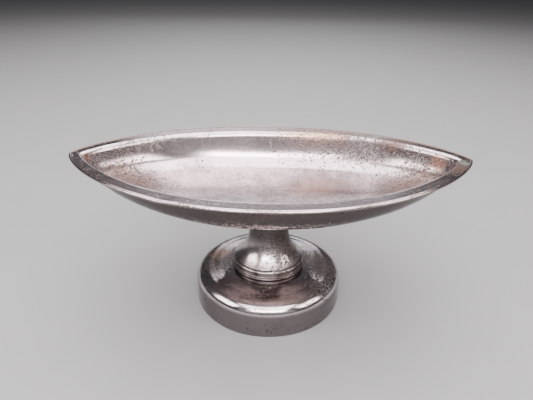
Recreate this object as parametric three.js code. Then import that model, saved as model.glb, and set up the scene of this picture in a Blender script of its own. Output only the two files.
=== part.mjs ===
// Footed navette dish in silver plate: a pressed boat-shaped bowl with a flat flange and an
// applied edge wire, on a waisted trumpet stem, a moulding ring and a hollow drum foot.
// A tie rod from a boss under the bowl draws everything together and is nutted inside the foot.
// Millimetres, +X along the dish, +Z up, origin on the floor under the middle of the foot.
import * as THREE from "three";

// Clearance between neighbouring pieces, and the thickness of the pressed sheet.
const clearance = 0.3;
const sheet = 1.1;

// Foot: a drum open underneath, with a low conical top.
const footRadius = 49;
const footWallTop = 21.9;
const footHeight = 24.3;
const footShoulder = 8;
const footShoulderRun = 12;
const footCrown = 1;
const footSeatMargin = 0.95;

// Rectangular wire soldered inside the foot's lower edge.
const footWireWidth = 2.4;
const footWireHeight = 2.0;

// Moulding ring between foot and stem.
const collarHeight = 3.8;
const collarLipHeight = 0.9;
const collarLipReach = 0.5;
const collarBandInset = 1.1;
const collarWall = 2.6;
const collarSpigotHeight = 1.1;
const collarTongueDepth = 1.3;
const collarOverlap = 6.8;

// Stem: a trumpet that stands on the collar and carries the bowl.
const stemBaseRadius = 23.75;
const stemNeckRadius = 12.6;
const stemHeight = 43;
const stemFlareTop = 0.64;
const stemEdge = 1.5;
const stemEdgeBead = 1.1;
const stemRimWall = 1.8;

// Bowl: a navette, given by its sheet's outer edge and the depth below the flange's top.
const dishLength = 250;
const dishWidth = 135.2;
const bowlDepth = 26.15;
const tipRise = 3.1;
const flangeAtTips = 8.2;
const flangeAtSides = 11.6;
const flangeFillet = 2.5;
const wallHeight = 10.5;
const wallRunAtTips = 3;
const wallRunAtSides = 3.2;
const turnRunAtTips = 30;
const turnRunAtSides = 13.5;
const dishingAtTips = 3.4;
const dishingAtSides = 1.7;
const outlinePower = 2.22;
const edgeFullness = 0.76;
const wallFullness = 0.8;
const floorFullness = 0.81;

// Edge wire round the flange, in two lengths mitred at the tips.
const wireRadius = 0.9;
const wireStandsProud = 0.25;

// Fastening: brass boss under the bowl, steel tie rod, spreader plate, washer and nut.
const rodRadius = 3;
const bossRadius = 7;
const bossLength = 13;
const bossFlange = 2.5;
const rodEngagement = 9;
const plateThickness = 1.5;
const plateOverlap = 4;
const washerRadius = 6.25;
const washerThickness = 1.2;
const nutFlats = 10;
const nutHeight = 5;
const rodTail = 2;

// Facets.
const bowlSegments = 72;
const roundSegments = 40;
const footSegments = 48;
const wireSteps = 44;

const metal = (name, color, roughness) =>
  new THREE.MeshStandardMaterial({ name, color, roughness, metalness: 0.95 });

// Heights of the stack, from the floor up.
const stemSeat = footHeight + clearance + collarHeight;
const stemTop = stemSeat + clearance + stemHeight;
const bowlUnderside = stemTop + clearance;
const flangeTop = bowlUnderside + bowlDepth;

const vec2 = (x, y) => new THREE.Vector2(x, y);

function addPiece(group, name, geometry, material) {
  const mesh = new THREE.Mesh(geometry, material);
  mesh.name = name;
  group.add(mesh);
  return mesh;
}

// A turned piece: the closed outline is given in (radius, height) and spun about Z.
function turned(outline, segments = roundSegments) {
  const closed = outline[0].x === 0 ? outline : [...outline, outline[0]];
  return new THREE.LatheGeometry(closed, segments).rotateX(Math.PI / 2);
}

// Points of a path moved sideways by a distance, to the left of the direction of travel.
function offsetPath(points, distance) {
  return points.map((point, i) => {
    const before = points[Math.max(i - 1, 0)];
    const after = points[Math.min(i + 1, points.length - 1)];
    const along = after.clone().sub(before).normalize();
    return vec2(point.x - along.y * distance, point.y + along.x * distance);
  });
}

// Foot -------------------------------------------------------------------------------------

const collarBand = stemBaseRadius - collarBandInset;
const footBore = collarBand - collarOverlap;

// The outer line of the foot: flat seat under the collar, low cone, shoulder and wall.
function footOuterLine() {
  const seatEdge = vec2(stemBaseRadius + footSeatMargin, footHeight);
  const corner = vec2(footRadius, footWallTop);
  const upTheCone = seatEdge.clone().sub(corner).normalize();
  const shoulderStart = corner.clone().addScaledVector(upTheCone, footShoulderRun);
  const middle = seatEdge.clone().add(shoulderStart).multiplyScalar(0.5);
  const line = new THREE.Path();
  line.moveTo(footBore, footHeight);
  line.lineTo(seatEdge.x, seatEdge.y);
  line.quadraticCurveTo(middle.x, middle.y + footCrown, shoulderStart.x, shoulderStart.y);
  line.quadraticCurveTo(corner.x, corner.y, footRadius, footWallTop - footShoulder);
  line.lineTo(footRadius, 0);
  return line.getPoints(5);
}

function makeFoot() {
  const outer = footOuterLine();
  const inner = offsetPath(outer, -sheet).reverse();
  inner[0].y = 0;
  inner[inner.length - 1].x = footBore;
  return turned([...outer, ...inner].reverse(), footSegments);
}

function makeFootWire() {
  const outside = footRadius - sheet - clearance;
  const inside = outside - footWireWidth;
  return turned([
    vec2(inside, 0), vec2(outside, 0), vec2(outside, footWireHeight), vec2(inside, footWireHeight),
  ], footSegments);
}

// Moulding ring -----------------------------------------------------------------------------

const stemBore = collarBand - stemRimWall;

// Up the outside of the ring: tongue in the foot's bore, lip, recessed band, spigot, and back inside.
function makeCollar() {
  const seat = footHeight + clearance;
  const top = seat + collarHeight;
  const tongue = footBore - clearance;
  const spigot = stemBore - clearance;
  const lip = stemBaseRadius + collarLipReach;
  const round = collarLipHeight * 0.3;
  return turned([
    vec2(tongue - collarWall, seat - collarTongueDepth), vec2(tongue, seat - collarTongueDepth),
    vec2(tongue, seat), vec2(lip - round, seat),
    vec2(lip, seat + round), vec2(lip, seat + collarLipHeight - round),
    vec2(lip - round, seat + collarLipHeight), vec2(collarBand, seat + collarLipHeight + round),
    vec2(collarBand, top), vec2(spigot, top),
    vec2(spigot, top + collarSpigotHeight), vec2(spigot - collarWall, top + collarSpigotHeight),
    vec2(spigot - collarWall, seat + sheet), vec2(tongue - collarWall, seat + sheet),
  ]);
}

// Stem --------------------------------------------------------------------------------------

const stemBase = stemSeat + clearance;

// The trumpet's outer line: a straight neck, then a flare down to the groove above the edge bead.
function stemOuterLine() {
  const spread = stemBaseRadius - stemNeckRadius;
  const line = new THREE.Path();
  line.moveTo(stemNeckRadius, stemTop);
  line.lineTo(stemNeckRadius, stemBase + stemHeight * stemFlareTop);
  line.bezierCurveTo(
    stemNeckRadius + spread * 0.02, stemBase + stemHeight * 0.34,
    stemNeckRadius + spread * 0.26, stemBase + stemHeight * 0.21,
    stemBaseRadius - stemEdgeBead * 1.2, stemBase + stemEdge * 1.7,
  );
  return line.getPoints(8);
}

function makeStem() {
  const outer = stemOuterLine();
  const bead = stemEdgeBead;
  const rim = [
    vec2(stemBaseRadius - bead, stemBase + stemEdge * 0.95),
    vec2(stemBaseRadius - bead * 0.65, stemBase + stemEdge * 1.05),
    vec2(stemBaseRadius - bead * 0.2, stemBase + stemEdge * 0.87),
    vec2(stemBaseRadius, stemBase + stemEdge * 0.6),
    vec2(stemBaseRadius - bead * 0.1, stemBase + stemEdge * 0.2),
    vec2(stemBaseRadius - bead * 0.45, stemBase),
    vec2(stemBore, stemBase),
    vec2(stemBore, stemBase + collarSpigotHeight),
  ];
  const inner = offsetPath(outer, -sheet)
    .filter((point) => point.x < stemBore && point.y > stemBase + collarSpigotHeight)
    .reverse();
  inner[inner.length - 1].y = stemTop;
  return turned([...outer, ...rim, ...inner].reverse());
}

// Bowl --------------------------------------------------------------------------------------

// Reach of the flange's sheet edge, inside the wire.
const wireReach = wireRadius * 2 + clearance;
const sheetReachAtTips = dishLength / 2 - wireReach;
const sheetReachAtSides = dishWidth / 2 - wireReach;

// A point of a navette ring: the turn angle, its reach at the tips and sides and its fullness.
function ringPoint(angle, tipReach, sideReach, fullness) {
  const along = Math.cos(angle);
  const width = sideReach * (1 - Math.abs(along) ** outlinePower) ** fullness;
  return vec2(tipReach * along, Math.sign(Math.sin(angle)) * width);
}

// The bowl's underside line in one section, from the middle out to the sheet's edge. The floor is
// a parabola, the turn and wall one cubic, and a fillet leads into the flat flange. The handles
// are the shares of turn and wall that keep the cubic full.
function undersideLine(reach, flange, wallRun, turnRun, dishing, rise) {
  const underFlange = flangeTop + rise - sheet;
  const wallTop = vec2(reach - flange + wireReach, underFlange - flangeFillet);
  const wallFoot = vec2(wallTop.x - wallRun, wallTop.y - wallHeight);
  const floorEdge = vec2(wallFoot.x - turnRun, bowlUnderside + dishing + rise);
  const floorSlope = (2 * (floorEdge.y - bowlUnderside)) / floorEdge.x;
  const floorHandle = turnRun * 0.88;
  const wallHandle = wallHeight * 1.2;
  const lean = wallTop.clone().sub(wallFoot).normalize();
  const line = new THREE.Path();
  line.moveTo(0, bowlUnderside);
  line.quadraticCurveTo(floorEdge.x / 2, bowlUnderside, floorEdge.x, floorEdge.y);
  line.bezierCurveTo(
    floorEdge.x + floorHandle, floorEdge.y + floorHandle * floorSlope,
    wallTop.x - lean.x * wallHandle, wallTop.y - lean.y * wallHandle,
    wallTop.x, wallTop.y,
  );
  const filletCorner = wallTop.x + lean.x * flangeFillet;
  line.quadraticCurveTo(filletCorner, underFlange, filletCorner + flangeFillet * 0.8, underFlange);
  line.lineTo(reach, underFlange);
  return line.getPoints(5);
}

// Closed section outline, from the middle of the underside out, over the edge and back above.
function bowlOutline(reach, flange, wallRun, turnRun, dishing, rise) {
  const under = undersideLine(reach, flange, wallRun, turnRun, dishing, rise);
  const above = offsetPath(under, sheet).reverse();
  above[0].set(reach, flangeTop + rise);
  above[above.length - 1].x = 0;
  return [...under, ...above];
}

// How full the navette ring is at a reach of the side section, from the floor out to the edge.
function fullnessAt(reach) {
  const wallReach = dishWidth / 2 - flangeAtSides;
  if (reach > wallReach) {
    return THREE.MathUtils.mapLinear(reach, wallReach, sheetReachAtSides, wallFullness, edgeFullness);
  }
  const blend = THREE.MathUtils.smoothstep(reach, wallReach * 0.75, wallReach);
  return THREE.MathUtils.lerp(floorFullness, wallFullness, blend);
}

// The side section is spun, and each ring is then stretched into a navette between the two sections.
function makeBowl() {
  const side = bowlOutline(
    sheetReachAtSides, flangeAtSides, wallRunAtSides, turnRunAtSides, dishingAtSides, 0,
  );
  const tip = bowlOutline(
    sheetReachAtTips, flangeAtTips, wallRunAtTips, turnRunAtTips, dishingAtTips, tipRise,
  );
  const geometry = new THREE.LatheGeometry(side, bowlSegments);
  const place = geometry.attributes.position;
  for (let vertex = 0; vertex < place.count; vertex++) {
    const i = vertex % side.length;
    const turn = Math.floor(vertex / side.length) % bowlSegments;
    const angle = (turn / bowlSegments) * Math.PI * 2;
    const point = ringPoint(angle, tip[i].x, side[i].x, fullnessAt(side[i].x));
    const towardsTip = Math.cos(angle) ** 2;
    place.setXYZ(vertex, point.x, point.y, THREE.MathUtils.lerp(side[i].y, tip[i].y, towardsTip));
  }
  return geometry;
}

// Half of the edge wire: a straight round bar, laid along the flange's edge on one side.
function makeEdgeWire(side) {
  const section = new THREE.Shape().absarc(0, 0, wireRadius, 0, Math.PI * 2);
  const geometry = new THREE.ExtrudeGeometry(section, {
    depth: 1, steps: wireSteps, bevelEnabled: false, curveSegments: 5,
  });
  const height = flangeTop + wireStandsProud - wireRadius;
  const outward = clearance + wireRadius;
  const place = geometry.attributes.position;
  const nudge = 1e-4;
  for (let vertex = 0; vertex < place.count; vertex++) {
    const angle = THREE.MathUtils.lerp(nudge, Math.PI - nudge, place.getZ(vertex));
    const at = (turn) => ringPoint(turn, sheetReachAtTips, sheetReachAtSides - clearance / 2, edgeFullness);
    const edge = at(angle);
    const along = at(angle + nudge).sub(at(angle - nudge)).normalize();
    const reach = outward - place.getX(vertex);
    const x = edge.x + along.y * reach;
    const y = Math.max(edge.y - along.x * reach, 0) + clearance / 2;
    const z = height + place.getY(vertex) + tipRise * Math.cos(angle) ** 2;
    place.setXYZ(vertex, side * x, side * y, z);
  }
  return geometry;
}

// Fastening ---------------------------------------------------------------------------------

const plateTop = footHeight - sheet - clearance;
const plateBottom = plateTop - plateThickness;
const washerBottom = plateBottom - clearance - washerThickness;
const nutTop = washerBottom - clearance;
const nutBottom = nutTop - nutHeight;

function makeBoss() {
  const top = bowlUnderside - clearance;
  const bottom = top - bossLength;
  const flange = stemNeckRadius - sheet - clearance;
  const bore = rodRadius + clearance;
  const chamfer = (bossRadius - bore) * 0.16;
  return turned([
    vec2(0, top), vec2(flange, top), vec2(flange, top - bossFlange), vec2(bossRadius, top - bossFlange),
    vec2(bossRadius, bottom + chamfer), vec2(bossRadius - chamfer, bottom), vec2(bore, bottom),
    vec2(bore, bottom + rodEngagement + clearance), vec2(0, bottom + rodEngagement + clearance),
  ].reverse());
}

function makeRod() {
  const bottom = nutBottom - rodTail;
  const top = bowlUnderside - clearance - bossLength + rodEngagement;
  const tip = rodRadius * 0.2;
  return turned([
    vec2(0, bottom), vec2(rodRadius - tip, bottom), vec2(rodRadius, bottom + tip),
    vec2(rodRadius, top - tip), vec2(rodRadius - tip, top), vec2(0, top),
  ], 24);
}

function flatRing(outside, bottom, top) {
  const bore = rodRadius + clearance;
  return turned([vec2(bore, bottom), vec2(outside, bottom), vec2(outside, top), vec2(bore, top)], 32);
}

// The plate bridges the foot's bore from below and clears the collar's tongue.
function makePlate() {
  return flatRing(footBore + plateOverlap, plateBottom, plateTop);
}

function makeWasher() {
  return flatRing(washerRadius, washerBottom, washerBottom + washerThickness);
}

function makeNut() {
  const corner = nutFlats / Math.sqrt(3);
  const hexagon = new THREE.Shape(
    Array.from({ length: 6 }, (_, i) => vec2(corner, 0).rotateAround(vec2(0, 0), (i * Math.PI) / 3)),
  );
  hexagon.holes.push(new THREE.Path().absarc(0, 0, rodRadius + clearance, 0, Math.PI * 2, true));
  const bevel = nutHeight * 0.08;
  const geometry = new THREE.ExtrudeGeometry(hexagon, {
    depth: nutHeight - bevel * 2, bevelThickness: bevel, bevelSize: bevel, bevelOffset: -bevel,
    bevelSegments: 1, curveSegments: 12,
  });
  return geometry.translate(0, 0, nutBottom + bevel);
}

// Assembly ----------------------------------------------------------------------------------

function makeDish() {
  const dish = new THREE.Group();
  dish.name = "footed_navette_dish";
  addPiece(dish, "bowl", makeBowl(), metal("silver_bowl", 0xb9aeb0, 0.3));
  addPiece(dish, "rim_wire_back", makeEdgeWire(1), metal("silver_rim", 0xc4b9b8, 0.28));
  addPiece(dish, "rim_wire_front", makeEdgeWire(-1), metal("silver_rim", 0xc4b9b8, 0.28));
  addPiece(dish, "stem", makeStem(), metal("silver_stem", 0xb3a7a7, 0.26));
  addPiece(dish, "stem_collar", makeCollar(), metal("silver_stem", 0xa3979a, 0.3));
  addPiece(dish, "foot", makeFoot(), metal("silver_foot", 0xa2979a, 0.36));
  addPiece(dish, "foot_edge_wire", makeFootWire(), metal("silver_foot", 0xa2979a, 0.36));
  addPiece(dish, "threaded_boss", makeBoss(), metal("brass", 0xb08d4a, 0.38));
  addPiece(dish, "tie_rod", makeRod(), metal("steel", 0x8f9092, 0.42));
  addPiece(dish, "clamp_plate", makePlate(), metal("brass", 0xb08d4a, 0.38));
  addPiece(dish, "washer", makeWasher(), metal("steel", 0x8f9092, 0.42));
  addPiece(dish, "nut", makeNut(), metal("steel", 0x8f9092, 0.42));
  return dish;
}

export default makeDish();
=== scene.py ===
import bisect
import math

import bmesh
import bpy
from mathutils import Matrix, Vector, noise


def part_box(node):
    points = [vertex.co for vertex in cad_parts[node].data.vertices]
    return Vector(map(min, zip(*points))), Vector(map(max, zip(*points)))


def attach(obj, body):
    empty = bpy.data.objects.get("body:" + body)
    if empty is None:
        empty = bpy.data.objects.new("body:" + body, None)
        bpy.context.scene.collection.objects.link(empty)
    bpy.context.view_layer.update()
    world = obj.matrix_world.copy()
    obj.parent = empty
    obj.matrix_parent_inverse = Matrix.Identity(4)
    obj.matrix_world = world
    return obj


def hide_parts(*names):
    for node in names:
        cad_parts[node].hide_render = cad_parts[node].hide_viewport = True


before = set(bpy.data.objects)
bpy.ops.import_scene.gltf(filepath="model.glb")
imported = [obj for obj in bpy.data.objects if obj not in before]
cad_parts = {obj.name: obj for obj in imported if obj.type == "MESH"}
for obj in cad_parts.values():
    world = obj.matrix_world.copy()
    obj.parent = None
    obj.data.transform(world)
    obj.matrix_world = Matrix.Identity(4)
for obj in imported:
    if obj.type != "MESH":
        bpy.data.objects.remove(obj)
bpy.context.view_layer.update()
mm = 0.001
fullTurn = math.tau
print("frame loaded:", len(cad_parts), "nodes")


# shader helpers: a Wire is a socket that can be used in sums

def feed(tree, socket, value):
    if isinstance(value, Wire):
        tree.links.new(value.socket, socket)
    else:
        socket.default_value = value


class Wire:
    def __init__(self, tree, socket):
        self.tree, self.socket = tree, socket

    def sum(self, operation, first, second, clamp=False):
        node = self.tree.nodes.new("ShaderNodeMath")
        node.operation, node.use_clamp = operation, clamp
        feed(self.tree, node.inputs[0], first)
        feed(self.tree, node.inputs[1], second)
        return Wire(self.tree, node.outputs[0])

    def __add__(self, other): return self.sum("ADD", self, other)
    def __radd__(self, other): return self.sum("ADD", other, self)
    def __sub__(self, other): return self.sum("SUBTRACT", self, other)
    def __rsub__(self, other): return self.sum("SUBTRACT", other, self)
    def __mul__(self, other): return self.sum("MULTIPLY", self, other)
    def __rmul__(self, other): return self.sum("MULTIPLY", other, self)
    def most(self, other): return self.sum("MAXIMUM", self, other)
    def limited(self): return self.sum("ADD", self, 0.0, clamp=True)
    def over(self, other): return self.sum("GREATER_THAN", self, other)


class Finish:
    # one material and its node tree, with patterns measured in millimetres
    def __init__(self, name):
        self.material = bpy.data.materials.new(name)
        self.material.use_nodes = True
        self.tree = self.material.node_tree
        self.tree.nodes.clear()
        place = self.node("ShaderNodeTexCoord", {}, {}, "Object")
        self.place = self.node("ShaderNodeVectorMath", {"operation": "SCALE"}, {0: place, "Scale": 1 / mm})

    def node(self, kind, settings, sockets, output=0):
        node = self.tree.nodes.new(kind)
        for key, value in settings.items():
            setattr(node, key, value)
        for key, value in sockets.items():
            feed(self.tree, node.inputs[key], value)
        return Wire(self.tree, node.outputs[output]) if len(node.outputs) else None

    def cloud(self, size, detail=4.0, rough=0.55, distort=0.0, stretch=(1, 1, 1), offset=(0, 0, 0)):
        place = self.node("ShaderNodeMapping", {}, {
            "Vector": self.place, "Scale": stretch, "Location": offset})
        return self.node("ShaderNodeTexNoise", {}, {
            "Vector": place, "Scale": 1 / size, "Detail": detail, "Roughness": rough, "Distortion": distort})

    def step(self, value, low, high, start=0.0, end=1.0):
        return self.node("ShaderNodeMapRange", {"interpolation_type": "SMOOTHSTEP"}, {
            "Value": value, "From Min": low, "From Max": high, "To Min": start, "To Max": end})

    def near(self, spot, reach, shape=(1, 1, 1)):
        # 1 at a spot given in millimetres, falling to 0 at its reach
        place = self.node("ShaderNodeVectorMath", {"operation": "SUBTRACT"}, {0: self.place, 1: spot})
        place = self.node("ShaderNodeVectorMath", {"operation": "MULTIPLY"}, {0: place, 1: shape})
        distance = self.node("ShaderNodeVectorMath", {"operation": "LENGTH"}, {0: place}, "Value")
        return self.step(distance, 0.0, reach, 1.0, 0.0)

    def blend(self, amount, first, second):
        return self.node("ShaderNodeMix", {"data_type": "RGBA"}, {0: amount, 6: first, 7: second}, 2)

    def pits(self, spacing, density, size=0.3, offset=(0, 0, 0)):
        # scattered round pits: a share of the cells, given by density, holds one
        place = self.node("ShaderNodeMapping", {}, {"Vector": self.place, "Location": offset})
        cells = {"Vector": place, "Scale": 1 / spacing, "Randomness": 1.0}
        distance = self.node("ShaderNodeTexVoronoi", {}, cells, "Distance")
        lottery = self.node("ShaderNodeTexVoronoi", {}, cells, "Color")
        chance = self.node("ShaderNodeSeparateColor", {}, {0: lottery}, "Red")
        wide = self.node("ShaderNodeSeparateColor", {}, {0: lottery}, "Green")
        edge = size * (0.55 + 0.75 * wide)
        hole = ((edge - distance) * 9.0).limited()
        return hole * density.over(chance)

    def hairlines(self, width, length, turn, offset):
        # fine straight scratches in one direction
        place = self.node("ShaderNodeMapping", {}, {
            "Vector": self.place, "Rotation": (0.2, 0.15, turn), "Location": offset})
        place = self.node("ShaderNodeVectorMath", {"operation": "MULTIPLY"}, {
            0: place, 1: (1 / length, 1 / width, 1 / length)})
        lines = self.node("ShaderNodeTexNoise", {}, {
            "Vector": place, "Scale": 1.0, "Detail": 2.0, "Roughness": 0.4})
        return self.step(lines, 0.6, 0.72)

    def finishOff(self, color, roughness, metallic, height):
        bump = self.node("ShaderNodeBump", {}, {"Strength": 1.0, "Distance": mm, "Height": height})
        shader = self.node("ShaderNodeBsdfPrincipled", {}, {
            "Base Color": color, "Roughness": roughness, "Metallic": metallic, "Normal": bump})
        self.node("ShaderNodeOutputMaterial", {}, {"Surface": shader})
        return self.material


# mesh helpers

def stretchOf(count, *handles):
    # points of a line, a quadratic or a cubic, by how many handles it has
    points = []
    for index in range(count + 1):
        level = [Vector(handle) for handle in handles]
        while len(level) > 1:
            level = [a.lerp(b, index / count) for a, b in zip(level, level[1:])]
        points.append(level[0])
    return points


def joined(*stretches):
    line = []
    for points in stretches:
        line += points[1:] if line and (line[-1] - points[0]).length < 1e-9 else points
    return line


def arcPoints(count, center, radius, start, end):
    angles = [start + (end - start) * index / count for index in range(count + 1)]
    return [Vector((center[0] + radius * math.cos(a), center[1] + radius * math.sin(a))) for a in angles]


def moved(points, distance):
    # the line set off to the left of its own direction
    result = []
    for index, point in enumerate(points):
        before, after = points[max(index - 1, 0)], points[min(index + 1, len(points) - 1)]
        along = (after - before).normalized()
        result.append(Vector((point.x - along.y * distance, point.y + along.x * distance)))
    return result


def spun(profile, steps, closed=True, angle=fullTurn):
    mesh = bmesh.new()
    verts = [mesh.verts.new((point.x, 0, point.y)) for point in profile]
    edges = [mesh.edges.new(pair) for pair in zip(verts, verts[1:])]
    if closed:
        edges.append(mesh.edges.new((verts[-1], verts[0])))
    whole = abs(angle - fullTurn) < 1e-6
    bmesh.ops.spin(mesh, geom=verts + edges, cent=(0, 0, 0), axis=(0, 0, 1),
                   angle=angle, steps=steps, use_merge=whole)
    tidyMesh(mesh)
    return mesh


def tidyMesh(mesh):
    bmesh.ops.remove_doubles(mesh, verts=mesh.verts, dist=1e-7)
    bmesh.ops.recalc_face_normals(mesh, faces=mesh.faces)


def wobble(mesh, amount, size, seed):
    # hand-worn unevenness along the normals
    mesh.normal_update()
    shift = Vector((seed, seed * 1.7, seed * 0.3))
    for vert in mesh.verts:
        vert.co += vert.normal * amount * noise.noise(vert.co / size + shift)


def addPiece(mesh, name, material, slotName, *nodes, sharp=40):
    data = bpy.data.meshes.new(name)
    mesh.to_mesh(data)
    mesh.free()
    data.shade_smooth()
    data.set_sharp_from_angle(angle=math.radians(sharp))
    data.materials.append(material)
    piece = bpy.data.objects.new(name, data)
    bpy.context.scene.collection.objects.link(piece)
    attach(piece, "root")
    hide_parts(*nodes)
    return piece


# silver plate: worn, satin, tarnished in places, with painted shade on steep and downward faces

def silverPlate(name, look):
    finish = Finish(name)
    broad = finish.cloud(look["patchSize"], 5.0, 0.6, 0.4, offset=look["offset"])
    mottle = finish.cloud(look["mottleSize"], 6.0, 0.7, 0.6, offset=look["offset"])
    speckle = finish.cloud(look["speckleSize"], 4.0, 0.72, 0.3, offset=look["offset"])
    grain = finish.cloud(look["grainSize"], 3.0, 0.6)
    facing = finish.node("ShaderNodeNewGeometry", {}, {}, "Normal")
    upward = finish.node("ShaderNodeSeparateXYZ", {}, {0: facing}, "Z")
    paintedShadeDown = finish.step(upward, *look["shadeSpan"])     # painted shade: steep and downward faces are coloured darker
    # tarnish creeps in from the zones as ragged specks; some zones are painted shade, darkening parts that lie
    # under the bowl
    tarnishAndShadeCover = finish.step(broad, 0.42, 0.72) * look["tarnishSpread"] + look["tarnishBase"]
    for spot, reach, shape, strength in look["tarnishAndShadeZones"]:
        tarnishAndShadeCover = tarnishAndShadeCover.most(finish.near(spot, reach, shape) * strength)
    ragged = speckle * 0.55 + mottle * 0.45
    edge = 0.68 - tarnishAndShadeCover * 0.34
    tarnish = finish.step(ragged - edge, -0.03, 0.07)
    film = (tarnishAndShadeCover * 1.1 + finish.step(mottle, 0.35, 0.75) * 0.2).limited()
    patina = finish.step(speckle * 0.6 + mottle * 0.4, 0.5, 0.58) * finish.step(broad, 0.3, 0.62, 0.4, 1.0)
    # corrosion pits in three sizes, thickest in their own zones
    density = finish.step(broad, 0.45, 0.7) * look["pitDensity"]
    for spot, reach, shape, strength in look["pitZones"]:
        density = density + finish.near(spot, reach, shape) * strength
    pit = finish.pits(1.35, density * finish.step(mottle, 0.36, 0.54) * 1.2, 0.5)
    pit = pit.most(finish.pits(2.3, density * 0.5, 0.36, (3.1, 8.2, 1.7)))
    pit = pit.most(finish.pits(0.7, density * 1.1, 0.45, (5.4, 2.9, 6.6)) * 0.8)
    scratch = finish.hairlines(0.16, 9.0, 0.35, (2, 0, 0)).most(finish.hairlines(0.13, 7.0, -0.5, (0, 9, 4)))
    scratch = scratch.most(finish.hairlines(0.14, 6.0, 1.4, (7, 3, 1))) * finish.step(broad, 0.35, 0.6)
    # colour, from the clean metal out to film, patina, tarnish, painted shade and stains, some of which are
    # painted light
    cast = finish.blend(finish.step(mottle, 0.3, 0.7), look["silver"], look["silverWarm"])
    color = finish.blend(film, cast, look["film"])
    color = finish.blend(patina * look["patina"] * (0.25 + tarnishAndShadeCover * 0.75), color, look["pitColor"])
    color = finish.blend(tarnish * look["tarnishDepth"], color, look["tarnish"])
    color = finish.blend(paintedShadeDown * look["shadeBelow"], color, look["below"])
    roughness = look["roughness"] + (broad - 0.5) * 0.12 + (mottle - 0.5) * 0.12 + tarnish * 0.12
    # stains, and pale patches of painted light, blended in as ragged specks
    for spot, reach, shape, strength, stainAndLightColor in look["stainsAndPaintedLight"]:
        patch = finish.near(spot, reach, shape)
        patch = finish.step(ragged + patch * 0.2, 0.54, 0.68) * finish.step(patch, 0.0, 0.3) * strength
        color = finish.blend(patch, color, stainAndLightColor)
        roughness = roughness + patch * 0.1
    color = finish.blend(pit * 0.9, color, look["pitColor"])
    roughness = (roughness + pit * 0.3).limited()
    metallic = (1.0 - tarnish * 0.15 - pit * 0.4).limited()
    height = grain * look["grainDepth"] + mottle * look["mottleDepth"] - pit * look["pitDepth"]
    height = height - tarnish * look["tarnishDip"] - patina * tarnishAndShadeCover * look["patinaDip"]
    height = height - scratch * look["scratchDepth"]
    return finish.finishOff(color, roughness, metallic, height)


# zones and stains are a spot in millimetres, a reach, how much each axis counts, and a strength; some zones
# are painted shade and some stains are painted light
plainSilver = {
    "silver": (0.86, 0.755, 0.8, 1), "silverWarm": (0.8, 0.66, 0.66, 1), "film": (0.135, 0.112, 0.118, 1),
    "tarnish": (0.2, 0.125, 0.105, 1), "below": (0.2, 0.155, 0.15, 1), "pitColor": (0.04, 0.026, 0.022, 1),
    "roughness": 0.19, "patina": 0.75, "shadeBelow": 0.9, "shadeSpan": (0.35, -0.35),
    "patchSize": 22.0, "mottleSize": 2.0, "speckleSize": 0.75, "grainSize": 0.45, "offset": (0, 0, 0),
    "tarnishSpread": 0.35, "tarnishBase": 0.1, "tarnishDepth": 0.8, "tarnishAndShadeZones": [], "pitDensity": 0.05,
    "pitZones": [], "stainsAndPaintedLight": [], "grainDepth": 0.002, "mottleDepth": 0.01, "scratchDepth": 0.0018,
    "pitDepth": 0.07, "tarnishDip": 0.002, "patinaDip": 0.006,
}


# bowl

bowlLow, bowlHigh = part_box("bowl")
bowl = {
    "sheet": 1.1 * mm, "tipRise": 3.1 * mm, "gap": 0.3 * mm, "wire": 0.9 * mm, "wireProud": 0.25 * mm,
    "flangeTips": 8.2 * mm, "flangeSides": 11.6 * mm, "fillet": 2.5 * mm,
    "wallHeight": 10.5 * mm, "wallRunTips": 3 * mm, "wallRunSides": 3.2 * mm,
    "turnTips": 30 * mm, "turnSides": 13.5 * mm, "dishingTips": 3.4 * mm, "dishingSides": 1.7 * mm,
    "power": 2.22, "edgeFullness": 0.76, "wallFullness": 0.8, "floorFullness": 0.81,
    "steps": 216, "wobble": 0.1 * mm, "wobbleSize": 26 * mm,
    "floorHandle": 0.88, "wallHandle": 1.2,      # how far the turn leans on the floor and on the wall
    "dent": Vector((-58 * mm, -57.5 * mm)), "dentDepth": 0.45 * mm, "dentReach": 7 * mm,
    "knocksFrom": -64, "knocksTo": -14, "knocksFade": 10, "knockPitch": 2.7, "knockSize": 0.2,
    "hoop": 0.05,      # radius on which the edge wires are spun before they are bent
}
bowl["tipReach"], bowl["sideReach"] = bowlHigh[0], bowlHigh[1]
bowl["underside"], bowl["flangeTop"] = bowlLow[2], bowlHigh[2] - bowl["tipRise"]


def ringPoint(angle, tipReach, sideReach, fullness, power):
    along = math.cos(angle)
    across = sideReach * (1 - min(abs(along), 1) ** power) ** fullness
    return Vector((tipReach * along, math.copysign(across, math.sin(angle))))


def undersideLine(reach, flange, wallRun, turnRun, dishing, rise):
    under = bowl["flangeTop"] + rise - bowl["sheet"]
    inWire = 2 * bowl["wire"] + bowl["gap"]
    wallTop = Vector((reach - flange + inWire, under - bowl["fillet"]))
    wallFoot = wallTop - Vector((wallRun, bowl["wallHeight"]))
    floorEdge = Vector((wallFoot.x - turnRun, bowl["underside"] + dishing + rise))
    slope = 2 * (floorEdge.y - bowl["underside"]) / floorEdge.x
    lean = (wallTop - wallFoot).normalized()
    corner = Vector((wallTop.x + lean.x * bowl["fillet"], under))
    floorHandle = floorEdge + Vector((1, slope)) * turnRun * bowl["floorHandle"]
    return joined(
        stretchOf(26, (0, bowl["underside"]), (floorEdge.x / 2, bowl["underside"]), floorEdge),
        stretchOf(40, floorEdge, floorHandle,
                  wallTop - lean * bowl["wallHeight"] * bowl["wallHandle"], wallTop),
        stretchOf(16, wallTop, corner, corner + Vector((bowl["fillet"] * 0.8, 0))),
        stretchOf(12, corner + Vector((bowl["fillet"] * 0.8, 0)), (reach + bowl["gap"] * 1.5, under)),
    )


def smooth(low, high, value):
    share = min(max((value - low) / (high - low), 0), 1)
    return share * share * (3 - 2 * share)


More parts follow.
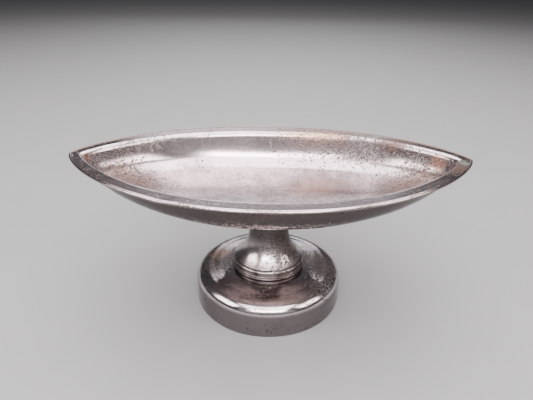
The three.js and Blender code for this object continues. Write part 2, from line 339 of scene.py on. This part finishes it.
def fullnessAt(reach):
    wallReach = bowl["sideReach"] + 2 * bowl["wire"] + bowl["gap"] - bowl["flangeSides"]
    if reach > wallReach:
        share = (reach - wallReach) / (bowl["sideReach"] - wallReach)
        return bowl["wallFullness"] + (bowl["edgeFullness"] - bowl["wallFullness"]) * share, bowl["power"]
    inner = smooth(0.1, 0.85, reach / wallReach)     # the middle of the floor is a plain ellipse
    floor = 0.5 + (bowl["floorFullness"] - 0.5) * inner
    power = 2 + (bowl["power"] - 2) * inner
    return floor + (bowl["wallFullness"] - floor) * smooth(0.75, 1, reach / wallReach), power


def rimDent(place):
    # the front edge is knocked down a little on the left
    distance = (Vector((place.x, place.y)) - bowl["dent"]).length
    return bowl["dentDepth"] * math.exp(-(distance / bowl["dentReach"]) ** 2)


def makeBowl(outside, inside):
    side = undersideLine(bowl["sideReach"], bowl["flangeSides"], bowl["wallRunSides"], bowl["turnSides"],
                         bowl["dishingSides"], 0)
    tip = undersideLine(bowl["tipReach"], bowl["flangeTips"], bowl["wallRunTips"], bowl["turnTips"],
                        bowl["dishingTips"], bowl["tipRise"])
    mesh = spun(side, bowl["steps"], closed=False)
    reaches = [point.x for point in side]
    for vert in mesh.verts:
        radius = math.hypot(vert.co.x, vert.co.y)
        index = bisect.bisect_left(reaches, radius - 1e-6)
        angle = math.atan2(vert.co.y, vert.co.x)
        fullness, power = fullnessAt(side[index].x)
        point = ringPoint(angle, tip[index].x, side[index].x, fullness, power)
        height = side[index].y + (tip[index].y - side[index].y) * math.cos(angle) ** 2
        vert.co = Vector((point.x, point.y, height))
        vert.co.z -= rimDent(vert.co)
    bmesh.ops.recalc_face_normals(mesh, faces=mesh.faces)
    if sum(face.normal.z for face in mesh.faces) > 0:
        bmesh.ops.reverse_faces(mesh, faces=mesh.faces)
    wobble(mesh, bowl["wobble"], bowl["wobbleSize"], 3.7)
    wobble(mesh, bowl["wobble"] * 0.3, bowl["wobbleSize"] * 0.3, 8.1)
    piece = addPiece(mesh, "pressed_bowl", outside, "silver_bowl", "bowl")
    wall = piece.modifiers.new("sheet thickness", "SOLIDIFY")
    wall.thickness, wall.offset, wall.use_even_offset = bowl["sheet"], -1.0, True
    piece.data.materials.append(inside)      # painted shade: the outside of the sheet is coloured much darker than the inside
    wall.material_offset = wall.material_offset_rim = 1
    return piece


def makeEdgeWire(name, node, side, material):
    # a round bar bent along the flange's edge, half the way round
    section = arcPoints(20, (bowl["hoop"], 0), bowl["wire"], 0, fullTurn)[:-1]
    mesh = spun(section, 360, closed=True, angle=math.pi)
    for edge in [e for e in mesh.edges if e.is_boundary]:
        edge.tag = True
    ends = [e for e in mesh.edges if e.tag]
    bmesh.ops.holes_fill(mesh, edges=ends, sides=0)
    height = bowl["flangeTop"] + bowl["wireProud"] - bowl["wire"]
    nudge = 1e-4

    def at(turn):
        return ringPoint(turn, bowl["tipReach"], bowl["sideReach"], bowl["edgeFullness"], bowl["power"])

    for vert in mesh.verts:
        angle = math.atan2(max(vert.co.y, 0), vert.co.x)
        outward, up = math.hypot(vert.co.x, vert.co.y) - bowl["hoop"], vert.co.z
        turn = min(max(angle, nudge * 2), math.pi - nudge * 2)
        along = (at(turn + nudge) - at(turn - nudge)).normalized()
        edge = at(turn)
        reach = bowl["gap"] + bowl["wire"]
        middle = Vector((edge.x + along.y * reach, edge.y - along.x * reach))
        beads = beadWear(middle.x * side, middle.y * side)
        reach = reach + outward * beads
        x, y = edge.x + along.y * reach, max(edge.y - along.x * reach, 0)
        z = height + up * beads + bowl["tipRise"] * math.cos(angle) ** 2
        vert.co = Vector((x * side, y * side, z))
        vert.co.z -= rimDent(vert.co)
    tidyMesh(mesh)
    wobble(mesh, 0.05 * mm, 9 * mm, 2.2)
    return addPiece(mesh, name, material, "silver_rim", node)


def beadWear(x, y):
    # a row of small knocks along the front left of the wire
    start, end, fade = bowl["knocksFrom"], bowl["knocksTo"], bowl["knocksFade"]
    if y > 0 or not start * mm < x < end * mm:
        return 1.0
    share = smooth(start, start + fade, x / mm) * smooth(end, end - fade, x / mm)
    return 1.0 + bowl["knockSize"] * share * math.sin(x / mm * fullTurn / bowl["knockPitch"])


bowlLook = {**plainSilver,
    "tarnishAndShadeZones": [((45, 54, 94), 80, (0.8, 2.6, 3.4), 0.7), ((88, 36, 98), 30, (0.9, 1.4, 3), 0.9),
                     ((-30, 52, 94), 40, (0.8, 2.2, 3.4), 0.3), ((-92, 4, 82), 46, (0.9, 1.3, 2), 0.95),
                     ((96, 4, 82), 46, (0.9, 1.3, 2), 0.95), ((-70, -30, 80), 40, (0.8, 1.3, 1.5), 0.6),
                     ((-100, -28, 101), 46, (0.8, 1.6, 3), 0.45), ((114, -12, 101), 40, (0.8, 1.5, 3), 0.9)],
    "pitDensity": 0.08,
    "pitZones": [((-94, 2, 83), 44, (0.9, 1.3, 1.6), 1.0), ((-84, 34, 99), 24, (0.8, 1.3, 2.4), 1.0),
                 ((98, 6, 83), 38, (0.9, 1.2, 1.6), 0.9),
                 ((60, 46, 92), 60, (0.8, 1.8, 2.2), 0.7), ((-32, -61, 98), 16, (0.7, 2.5, 2), 0.35)],
    "stainsAndPaintedLight": [((106, 9, 96), 13, (1, 1.5, 1.2), 0.8, (0.55, 0.25, 0.15, 1)),
               ((34, 54, 97), 34, (0.6, 2.5, 5.5), 0.5, (0.85, 0.5, 0.34, 1)),
               ((-113, 0, 99), 8, (1, 1, 1), 0.8, (0.6, 0.28, 0.15, 1)),
               ((119, -6, 101), 6, (1, 1, 1), 0.7, (0.3, 0.42, 0.33, 1))],
}
# painted shade: the outside silver is coloured far darker than the inside, and darker still on downward faces
paintedShadeOutsideLook = {**plainSilver,
    "silver": (0.17, 0.145, 0.15, 1), "silverWarm": (0.13, 0.104, 0.104, 1), "film": (0.1, 0.083, 0.084, 1),
    "below": (0.09, 0.074, 0.075, 1), "roughness": 0.2, "shadeBelow": 0.85,
    "tarnishSpread": 0.5, "tarnishBase": 0.2, "pitDensity": 0.06,
    # painted light: a broad pale warm patch across the outside bottom, which the foot top mirrors
    "stainsAndPaintedLight": [((0, -24, 72), 84, (0.8, 1.3, 5), 1.0, (0.93, 0.78, 0.73, 1))],
}
makeBowl(silverPlate("silver underside, painted shade and light", paintedShadeOutsideLook), silverPlate("worn silver bowl", bowlLook))
rimLook = {**plainSilver, "roughness": 0.16, "tarnishBase": 0.3, "pitDensity": 0.12}
rimSilver = silverPlate("worn silver edge", rimLook)
# painted shade: the back edge wire gets a darker, duller copy of the edge silver, so it shows no bright line
shadedBackRim = silverPlate("silver edge with painted shade", {**plainSilver, "roughness": 0.34, "tarnishBase": 0.75})
makeEdgeWire("edge_wire_back", "rim_wire_back", 1, shadedBackRim)
makeEdgeWire("edge_wire_front", "rim_wire_front", -1, rimSilver)
print("bowl made")


# stem and its moulding ring

stemLow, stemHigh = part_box("stem")
stem = {
    "base": stemLow[2], "top": stemHigh[2], "baseRadius": stemHigh[0], "neck": 12.6 * mm, "sheet": 1.1 * mm,
    "bead": 1.1 * mm, "edge": 1.5 * mm, "bore": 20.85 * mm, "spigot": 1.1 * mm, "steps": 160,
    "flareTop": 0.64,      # share of the height where the straight neck starts to flare
    "beadShare": 0.72,
}
stem["height"] = stem["top"] - stem["base"]
collar = {"low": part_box("stem_collar")[0][2], "seat": 24.6 * mm, "height": 3.8 * mm, "lipHeight": 0.9 * mm,
          "lip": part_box("stem_collar")[1][0], "band": 22.65 * mm, "tongue": 15.55 * mm, "spigot": 20.55 * mm,
          "wall": 2.6 * mm, "spigotHeight": 1.1 * mm}


def makeStem(material):
    base, height, neck, spread = stem["base"], stem["height"], stem["neck"], stem["baseRadius"] - stem["neck"]
    flare = base + height * stem["flareTop"]
    shoulder = Vector((stem["baseRadius"] - stem["bead"] * 1.2, base + stem["edge"] * 1.7))
    groove = Vector((stem["baseRadius"] - stem["bead"], base + stem["edge"] * 0.95))
    outer = joined(
        stretchOf(14, (neck, stem["top"] + 0.25 * mm), (neck, flare)),
        stretchOf(48, (neck, flare), (neck + spread * 0.02, base + height * 0.34),
                  (neck + spread * 0.26, base + height * 0.21), shoulder),
    )
    beadRadius = stem["bead"] * stem["beadShare"]
    beadMiddle = (stem["baseRadius"] - beadRadius, base + beadRadius)
    rim = joined(
        stretchOf(3, shoulder, (shoulder.x + 0.05 * mm, groove.y), groove),
        arcPoints(12, beadMiddle, beadRadius, math.radians(112), math.radians(-80)),
        stretchOf(4, (beadMiddle[0], base), (stem["bore"], base)),
        stretchOf(3, (stem["bore"], base), (stem["bore"], base + stem["spigot"] + 0.1 * mm)),
    )
    inner = [point for point in moved(outer, -stem["sheet"])
             if point.x < stem["bore"] and point.y > base + stem["spigot"] * 1.3]
    mesh = spun(joined(outer, rim, inner[::-1]), stem["steps"])
    wobble(mesh, 0.05 * mm, 12 * mm, 5.2)
    return addPiece(mesh, "trumpet_stem", material, "silver_stem", "stem", sharp=35)


def makeCollar(material):
    seat, top = collar["seat"], collar["seat"] + collar["height"]
    lipRound = collar["lipHeight"] / 2
    lipMiddle = (collar["lip"] - lipRound, seat + lipRound)
    profile = joined(
        stretchOf(2, (collar["tongue"] - collar["wall"], collar["low"]), (collar["tongue"], collar["low"])),
        stretchOf(2, (collar["tongue"], collar["low"]), (collar["tongue"], seat)),
        stretchOf(4, (collar["tongue"], seat), (lipMiddle[0], seat)),
        arcPoints(8, lipMiddle, lipRound, math.radians(-80), math.radians(85)),
        stretchOf(6, (lipMiddle[0], seat + collar["lipHeight"]),
                  (collar["band"], seat + collar["lipHeight"] * 1.1),
                  (collar["band"], seat + collar["lipHeight"] * 1.8)),
        stretchOf(4, (collar["band"], seat + collar["lipHeight"] * 1.8), (collar["band"], top)),
        stretchOf(2, (collar["band"], top), (collar["spigot"], top)),
        stretchOf(2, (collar["spigot"], top), (collar["spigot"], top + collar["spigotHeight"])),
        stretchOf(2, (collar["spigot"], top + collar["spigotHeight"]),
                  (collar["spigot"] - collar["wall"], top + collar["spigotHeight"])),
        stretchOf(2, (collar["spigot"] - collar["wall"], top + collar["spigotHeight"]),
                  (collar["spigot"] - collar["wall"], seat + stem["sheet"])),
        stretchOf(2, (collar["spigot"] - collar["wall"], seat + stem["sheet"]),
                  (collar["tongue"] - collar["wall"], seat + stem["sheet"])),
    )
    mesh = spun(profile, stem["steps"])
    return addPiece(mesh, "moulding_ring", material, "silver_stem", "stem_collar", sharp=50)


stemLook = {**plainSilver,
    "silver": (0.84, 0.77, 0.78, 1), "silverWarm": (0.74, 0.65, 0.645, 1), "tarnish": (0.13, 0.09, 0.08, 1),
    "roughness": 0.22,
    # painted shade: the zone at the top of the stem darkens the neck under the bowl, and steep faces are
    # coloured near black; the zone at front right is tarnish over the pits
    "tarnishAndShadeZones": [((0, 0, 70), 38, (1, 1, 1), 1.0), ((14, -6, 46), 24, (1, 1, 0.7), 0.8)],
    "pitZones": [((11, -9, 44), 26, (1.1, 1.1, 0.7), 1.0), ((10, -16, 33), 14, (1, 1, 1), 0.7)],
    "shadeBelow": 0.96, "shadeSpan": (0.5, 0.1), "below": (0.065, 0.054, 0.055, 1),
}
makeStem(silverPlate("worn silver stem", stemLook))
collarLook = {**stemLook, "roughness": 0.3, "pitDensity": 0.12, "tarnishBase": 0.5}
makeCollar(silverPlate("dull silver moulding", collarLook))
print("stem made")


# foot

footLow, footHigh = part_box("foot")
foot = {
    "radius": footHigh[0], "height": footHigh[2], "wallTop": 21.9 * mm, "crown": 1 * mm,
    "shoulder": 8 * mm, "shoulderRun": 12 * mm, "lowEdge": 0.35 * mm,
    "seat": 24.7 * mm, "bore": 15.85 * mm, "sheet": 1.1 * mm, "steps": 192,
    "wireWidth": 2.4 * mm, "wireHeight": 2 * mm, "wireRound": 0.5 * mm, "solder": 1.2 * mm, "gap": 0.3 * mm,
}


def makeFoot(material):
    corner = Vector((foot["radius"], foot["wallTop"]))
    seat = Vector((foot["seat"], foot["height"]))
    start = corner + (seat - corner).normalized() * foot["shoulderRun"]
    middle = (seat + start) / 2 + Vector((0, foot["crown"]))
    lowEdge = foot["lowEdge"]
    outer = joined(
        stretchOf(6, (foot["bore"], foot["height"]), seat),
        stretchOf(20, seat, middle, start),
        stretchOf(20, start, corner, corner - Vector((0, foot["shoulder"]))),
        stretchOf(14, corner - Vector((0, foot["shoulder"])), (foot["radius"], lowEdge)),
    )
    inner = moved(outer, -foot["sheet"])[::-1]
    inner[0].y = 0
    inner[-1].x = foot["bore"]
    edge = stretchOf(4, outer[-1], (foot["radius"], 0), (foot["radius"] - lowEdge, 0))
    mesh = spun(joined(outer, edge, inner), foot["steps"])
    wobble(mesh, 0.12 * mm, 17 * mm, 6.4)
    wobble(mesh, 0.03 * mm, 5 * mm, 1.4)
    for vert in mesh.verts:
        vert.co.z = max(vert.co.z, footLow[2])
    return addPiece(mesh, "drum_foot", material, "silver_foot", "foot", sharp=45)


def makeFootWire(material):
    outside = foot["radius"] - foot["sheet"] - 0.05 * mm
    inside = foot["radius"] - foot["sheet"] - foot["gap"] - foot["wireWidth"]
    soft, solder, top = foot["wireRound"], foot["solder"], foot["wireHeight"]
    profile = joined(
        stretchOf(3, (outside, 0), (inside + soft, 0)),
        arcPoints(5, (inside + soft, soft), soft, math.radians(-90), math.radians(-180)),
        arcPoints(5, (inside + soft, top - soft), soft, math.radians(180), math.radians(90)),
        stretchOf(3, (inside + soft, top), (outside - solder, top)),
        stretchOf(6, (outside - solder, top), (outside, top), (outside, top + solder)),
    )
    mesh = spun(profile, foot["steps"])
    return addPiece(mesh, "foot_edge_ring", material, "silver_foot", "foot_edge_wire", sharp=50)


footLook = {**plainSilver,
    "silver": (0.86, 0.79, 0.82, 1), "silverWarm": (0.76, 0.67, 0.67, 1), "tarnish": (0.17, 0.14, 0.135, 1),
    "roughness": 0.16, "patina": 0.6, "offset": (11, 4, 7),
    "tarnishBase": 0.14, "tarnishSpread": 0.35, "pitDensity": 0.16,
    # painted shade: the zones at left and right of the foot top darken where it mirrors the bowl's underside,
    # and the steep wall is coloured darker; the zone at the back darkens the back of the top
    "tarnishAndShadeZones": [((0, 24, 24), 40, (1, 1, 3), 0.5), ((36, 2, 22), 30, (1, 0.8, 2), 0.75),
                     ((-38, 2, 22), 30, (1, 0.8, 2), 0.75)],
    "shadeBelow": 0.9, "shadeSpan": (0.42, 0.05), "below": (0.16, 0.14, 0.145, 1),
    "pitZones": [((38, -4, 22), 20, (1, 0.8, 1), 0.8), ((34, -24, 20), 14, (1, 1, 1), 0.5)],
    "stainsAndPaintedLight": [((-33, 10, 23), 14, (1, 1, 1), 0.6, (0.36, 0.2, 0.14, 1))],
}
makeFoot(silverPlate("tarnished silver foot", footLook))
makeFootWire(silverPlate("dull silver ring", {**footLook, "roughness": 0.4, "tarnishBase": 0.6}))
print("foot made")


# fastening inside the foot and stem

def plainMetal(name, color, dark, roughness):
    finish = Finish(name)
    broad = finish.cloud(6.0, 5.0, 0.6, 0.5)
    fine = finish.cloud(0.6, 4.0, 0.6)
    rings = finish.cloud(0.35, 2.0, 0.5, 0.0, (0.04, 0.04, 1.0))
    dull = finish.step(broad + fine * 0.4, 0.55, 0.85)
    shade = finish.blend(dull * 0.85, color, dark)
    return finish.finishOff(shade, (roughness + dull * 0.25 + (fine - 0.5) * 0.15).limited(),
                            (1.0 - dull * 0.25).limited(), rings * 0.008 + fine * 0.01)


hardware = {
    "rod": 3 * mm, "pitch": 1 * mm, "threadDepth": 0.55 * mm, "threadTurns": 13, "gap": 0.3 * mm,
    "bossRadius": 7 * mm, "bossFlange": 2.5 * mm, "bossSkirt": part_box("threaded_boss")[1][0],
    "nutChamfer": 0.35 * mm, "nutSlack": 0.02 * mm,
}


def makeBoss(material):
    low, high = (corner[2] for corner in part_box("threaded_boss"))
    bore = hardware["rod"] + hardware["gap"]
    chamfer = 0.6 * mm
    step = high - hardware["bossFlange"]
    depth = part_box("tie_rod")[1][2] + hardware["gap"]
    skirt, radius = hardware["bossSkirt"], hardware["bossRadius"]
    corners = [(0, high), (skirt, high), (skirt, step), (radius, step), (radius, low + chamfer),
               (radius - chamfer, low), (bore, low), (bore, depth), (0, depth)]
    mesh = spun([Vector(corner) for corner in corners], 64, closed=False)
    return addPiece(mesh, "boss_under_bowl", material, "brass", "threaded_boss", sharp=30)


def makeRod(material):
    low, high = (corner[2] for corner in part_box("tie_rod"))
    radius, tip = hardware["rod"], 0.6 * mm
    core = radius - hardware["threadDepth"]
    threadEnd = low + hardware["threadTurns"] * hardware["pitch"]
    shank = radius * 0.97
    corners = [(0, low), (core - tip * 0.4, low), (core, low + tip * 0.6), (core, threadEnd),
               (shank, threadEnd + tip), (shank, high - tip), (shank - tip, high), (0, high)]
    mesh = spun([Vector(corner) for corner in corners], 48, closed=False)
    ridge = bmesh.new()      # the thread is a closed ridge wound up the rod
    start = low + hardware["pitch"] * 0.7
    section = [(core * 0.96, start - hardware["pitch"] * 0.42), (radius, start - hardware["pitch"] * 0.06),
               (radius, start + hardware["pitch"] * 0.06), (core * 0.96, start + hardware["pitch"] * 0.42)]
    verts = [ridge.verts.new((x, 0, z)) for x, z in section]
    face = ridge.faces.new(verts)
    turns, stepsEach = hardware["threadTurns"] - 1.4, 36
    steps = int(turns * stepsEach)
    bmesh.ops.spin(ridge, geom=[face] + verts + list(face.edges), cent=(0, 0, 0), axis=(0, 0, 1),
                   angle=turns * fullTurn, steps=steps, dvec=(0, 0, turns * hardware["pitch"] / steps),
                   use_duplicate=False)
    tidyMesh(ridge)
    thread = bpy.data.meshes.new("thread")
    ridge.to_mesh(thread)
    ridge.free()
    mesh.from_mesh(thread)
    bpy.data.meshes.remove(thread)
    return addPiece(mesh, "tie_rod_m6", material, "steel", "tie_rod", sharp=30)


def makeFlatRing(name, node, slotName, material, roundness):
    low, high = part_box(node)
    bore = hardware["rod"] + hardware["gap"]
    corners = [(bore, low[2]), (high[0], low[2]), (high[0], high[2]), (bore, high[2])]
    mesh = spun([Vector(corner) for corner in corners], 96)
    rims = [e for e in mesh.edges if e.calc_face_angle(0) > 1]
    bmesh.ops.bevel(mesh, geom=rims, offset=roundness, affect="EDGES", segments=3, profile=0.5, material=-1)
    return addPiece(mesh, name, material, slotName, node, sharp=50)


def makeNut(material):
    low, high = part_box("nut")
    corner = high[0]
    bore = hardware["rod"] + hardware["nutSlack"]
    height = high[2] - low[2]
    mesh = bmesh.new()
    outline = bmesh.ops.create_circle(mesh, cap_ends=False, segments=6, radius=corner)["verts"]
    bmesh.ops.rotate(mesh, verts=outline, cent=(0, 0, 0), matrix=Matrix.Rotation(math.radians(30), 3, "Z"))
    hole = bmesh.ops.create_circle(mesh, cap_ends=False, segments=36, radius=bore)["verts"]
    bmesh.ops.bridge_loops(mesh, edges=mesh.edges[:])
    top = bmesh.ops.extrude_face_region(mesh, geom=mesh.faces[:])["geom"]
    bmesh.ops.translate(mesh, verts=[v for v in top if isinstance(v, bmesh.types.BMVert)], vec=(0, 0, height))
    bmesh.ops.translate(mesh, verts=mesh.verts, vec=(0, 0, low[2]))
    tidyMesh(mesh)
    # six corners are turned off at both faces
    points = [v for v in mesh.verts if math.hypot(v.co.x, v.co.y) > corner * 0.98]
    rims = [e for e in mesh.edges if all(v in points for v in e.verts) and e.calc_face_angle(0) > 0.5]
    bmesh.ops.bevel(mesh, geom=rims, offset=hardware["nutChamfer"], affect="EDGES", segments=3, profile=0.5,
                    material=-1)
    return addPiece(mesh, "m6_nut", material, "steel", "nut", sharp=30)


brassMetal = plainMetal("dull brass", (0.62, 0.45, 0.22, 1), (0.3, 0.2, 0.11, 1), 0.34)
steelMetal = plainMetal("plain steel", (0.56, 0.56, 0.57, 1), (0.25, 0.22, 0.2, 1), 0.34)
makeBoss(brassMetal)
makeRod(steelMetal)
makeFlatRing("spreader_plate", "clamp_plate", "brass", brassMetal, 0.3 * mm)
makeFlatRing("plain_washer", "washer", "steel", steelMetal, 0.2 * mm)
makeNut(steelMetal)
print("fastening made")


# floor, light and camera

def makeFloor():
    mesh = bmesh.new()
    bmesh.ops.create_grid(mesh, x_segments=8, y_segments=8, size=5.0)
    data = bpy.data.meshes.new("studio_floor")
    mesh.to_mesh(data)
    mesh.free()
    finish = Finish("pale floor")
    grain = finish.cloud(40.0, 3.0, 0.5)
    shade = finish.blend(grain, (0.24, 0.24, 0.244, 1), (0.265, 0.265, 0.27, 1))
    data.materials.append(finish.finishOff(shade, 0.6 + grain * 0.05, 0.0, 0.0))
    floor = bpy.data.objects.new("studio_floor", data)
    bpy.context.scene.collection.objects.link(floor)


def addSoftbox(name, place, target, width, depth, power, color):
    lamp = bpy.data.lights.new(name, "AREA")
    lamp.shape, lamp.size, lamp.size_y = "RECTANGLE", width, depth
    lamp.energy, lamp.color = power, color
    box = bpy.data.objects.new(name, lamp)
    box.location = place
    box.rotation_euler = (Vector(target) - Vector(place)).to_track_quat("-Z", "Y").to_euler()
    bpy.context.scene.collection.objects.link(box)


def setWorld(level):
    world = bpy.data.worlds.new("studio surround")
    world.use_nodes = True
    world.node_tree.nodes["Background"].inputs["Color"].default_value = (*level, 1)
    bpy.context.scene.world = world


def placeCamera():
    # a hand-held view from the front and above, a third of a metre off
    look = {"target": Vector((-1.86, 0, 70.96)) * mm, "distance": 310.7 * mm, "pitch": 0.466,
            "roll": 0.014, "yaw": 0.008, "lens": 32.42, "sensor": 36.0}
    lens = bpy.data.cameras.new("studio camera")
    lens.lens, lens.sensor_width, lens.clip_start = look["lens"], look["sensor"], 0.01
    camera = bpy.data.objects.new("studio camera", lens)
    ahead = Vector((0, math.cos(look["pitch"]), -math.sin(look["pitch"])))
    tilt = Matrix.Rotation(math.pi / 2 - look["pitch"], 4, "X") @ Matrix.Rotation(look["roll"], 4, "Z")
    spot = Matrix.Translation(look["target"] - ahead * look["distance"])
    camera.matrix_world = Matrix.Rotation(look["yaw"], 4, "Z") @ spot @ tilt
    bpy.context.scene.collection.objects.link(camera)
    bpy.context.scene.camera = camera


makeFloor()
addSoftbox("overhead softbox", (0.0, 0.02, 0.98), (0, 0.02, 0), 1.1, 1.96, 44, (1.0, 0.965, 0.965))
addSoftbox("front strip softbox", (0.0, -1.2, 0.88), (0, 0, 0.07), 1.2, 0.4, 26, (1.0, 0.96, 0.955))
addSoftbox("left softbox", (-0.86, -0.33, 0.66), (0, 0, 0.07), 0.58, 0.46, 7.5, (1.0, 0.94, 0.91))
addSoftbox("right softbox", (0.86, -0.33, 0.66), (0, 0, 0.07), 0.58, 0.46, 7.5, (1.0, 0.93, 0.88))
addSoftbox("low front softbox", (0.0, -1.8, 0.6), (0, 0, 0.1), 3.2, 0.8, 2.4, (1.0, 0.95, 0.93))
addSoftbox("low back softbox", (0.0, 1.6, 0.62), (0, 0, 0.1), 1.0, 0.5, 2.3, (0.96, 0.96, 1.0))
setWorld((0.07, 0.07, 0.075))
placeCamera()
print("studio set")
